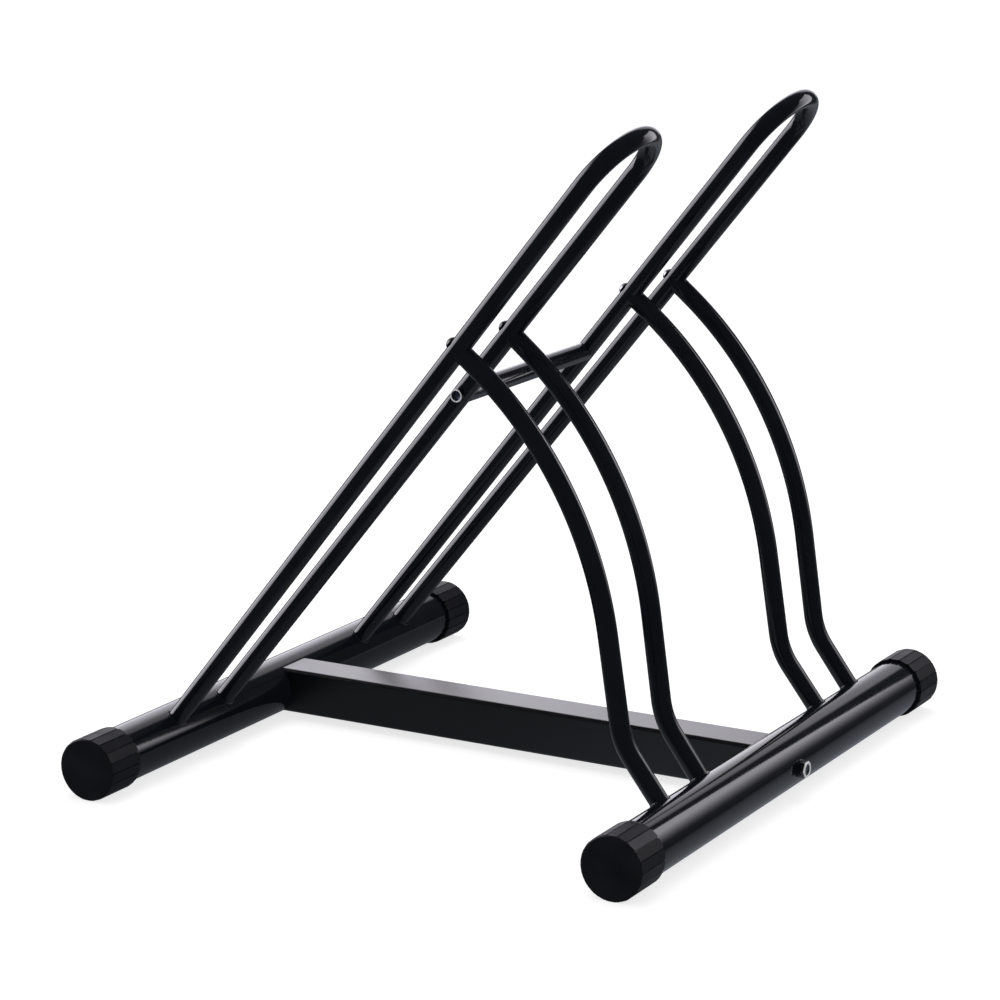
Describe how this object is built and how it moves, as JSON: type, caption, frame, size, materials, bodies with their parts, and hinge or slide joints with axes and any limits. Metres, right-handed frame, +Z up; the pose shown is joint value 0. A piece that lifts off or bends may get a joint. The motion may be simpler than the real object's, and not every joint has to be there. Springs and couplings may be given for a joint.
{
  "type": "floor bike rack",
  "caption": "Floor rack for parking bikes by the front wheel: leaning round-tube hoops with curved stay bars on two base tubes joined by a square crossbar, with ribbed end caps.",
  "frame": {"origin": "middle of the rack on the floor, under the middle of the crossbar", "axes": "+Z up, X along the two base tubes, +Y from the entry side towards the stay bars, so a bike rolls in along +Y"},
  "size_m": [0.594, 0.551, 0.5721],
  "materials": {
    "powder_coat": "semi-gloss black powder coat",
    "moulded_plastic": "satin black moulded plastic",
    "zinc_steel": "bright zinc plate",
    "dark_bolt": "dark zinc plate"
  },
  "bodies": {
    "root": {"crossbar": "powder_coat", "entry_base_tube": "powder_coat", "entry_cap_left": "moulded_plastic", "entry_cap_right": "moulded_plastic", "entry_crossbar_bolt": "zinc_steel", "entry_end_plate": "powder_coat", "entry_saddle_washer": "zinc_steel", "entry_weld_nut": "zinc_steel", "rear_base_tube": "powder_coat", "rear_cap_left": "moulded_plastic", "rear_cap_right": "moulded_plastic", "rear_crossbar_bolt": "zinc_steel", "rear_end_plate": "powder_coat", "rear_saddle_washer": "zinc_steel", "rear_weld_nut": "zinc_steel", "stay_bar_left_inner": "powder_coat", "stay_bar_left_outer": "powder_coat", "stay_bar_right_inner": "powder_coat", "stay_bar_right_outer": "powder_coat", "stay_bolt_left_inner": "dark_bolt", "stay_bolt_left_outer": "dark_bolt", "stay_bolt_right_inner": "dark_bolt", "stay_bolt_right_outer": "dark_bolt", "stay_insert_left_inner": "zinc_steel", "stay_insert_left_outer": "zinc_steel", "stay_insert_right_inner": "zinc_steel", "stay_insert_right_outer": "zinc_steel", "tie_bar": "powder_coat", "tie_bolt_left": "zinc_steel", "tie_bolt_right": "zinc_steel", "tie_insert_left": "zinc_steel", "tie_insert_right": "zinc_steel", "wheel_hoop_left": "powder_coat", "wheel_hoop_right": "powder_coat"}
  },
  "joints": []
}
